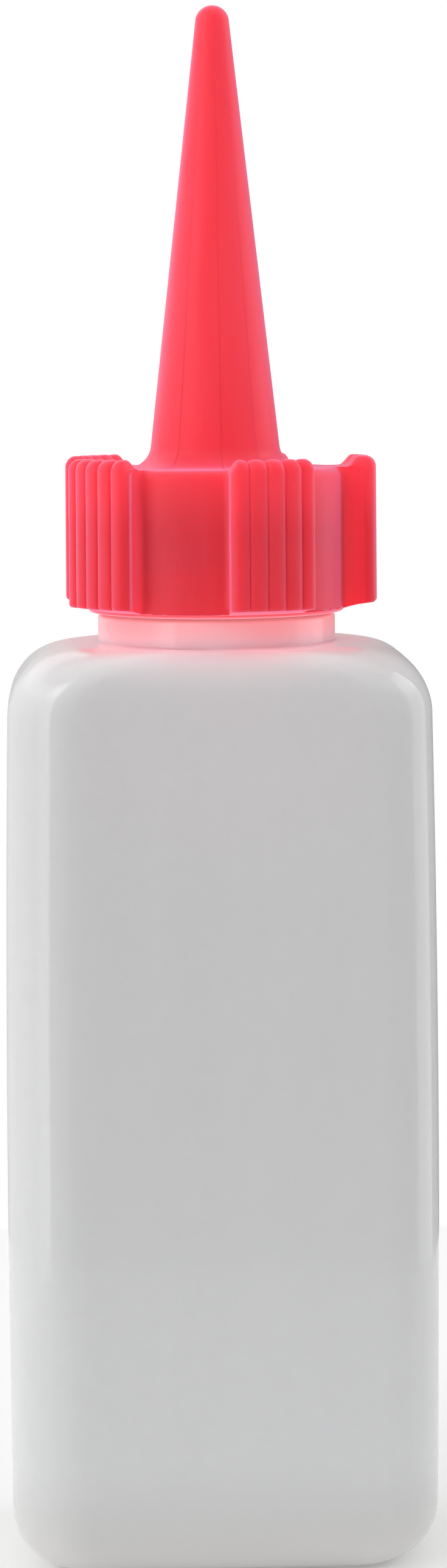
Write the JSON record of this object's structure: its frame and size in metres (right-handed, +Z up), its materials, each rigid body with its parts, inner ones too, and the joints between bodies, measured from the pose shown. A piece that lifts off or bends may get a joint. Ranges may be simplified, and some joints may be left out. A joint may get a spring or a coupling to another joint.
{
  "type": "glue applicator bottle",
  "caption": "Flat-sided translucent squeeze bottle with a round threaded neck and a pink screw cap that ends in a long closed conical spout.",
  "frame": {"origin": "on the neck's axis, in the plane that the bottle stands on", "axes": "+Z up along the neck, the cap's and the spout's axis, +X along the body's broad side, -Y out of its broad front face"},
  "size_m": [0.0432, 0.0327, 0.1566],
  "materials": {
    "bottle_plastic": "natural, translucent polyethylene, satin",
    "cap_plastic": "pink-red moulded polyethylene, semi-gloss",
    "washer_foam": "white closed-cell foam, matt"
  },
  "bodies": {
    "bottle": {"bottle": "bottle_plastic"},
    "washer": {"sealing_washer": "washer_foam"},
    "spout_cap": {"spout_cap": "cap_plastic"}
  },
  "joints": [
    {"name": "cap_lift", "type": "slide", "parent": "bottle", "child": "washer", "axis": [0, 0, 1], "range_m": [0, 0.0127]},
    {"name": "cap_turn", "type": "hinge", "parent": "washer", "child": "spout_cap", "pos_m": [0, 0, 0.1], "axis": [0, 0, 1], "range_deg": [0, 1440]}
  ],
  "couplings": [
    {"joint": "cap_lift", "follows": "cap_turn", "m_per_rad": 0.0005053}
  ]
}
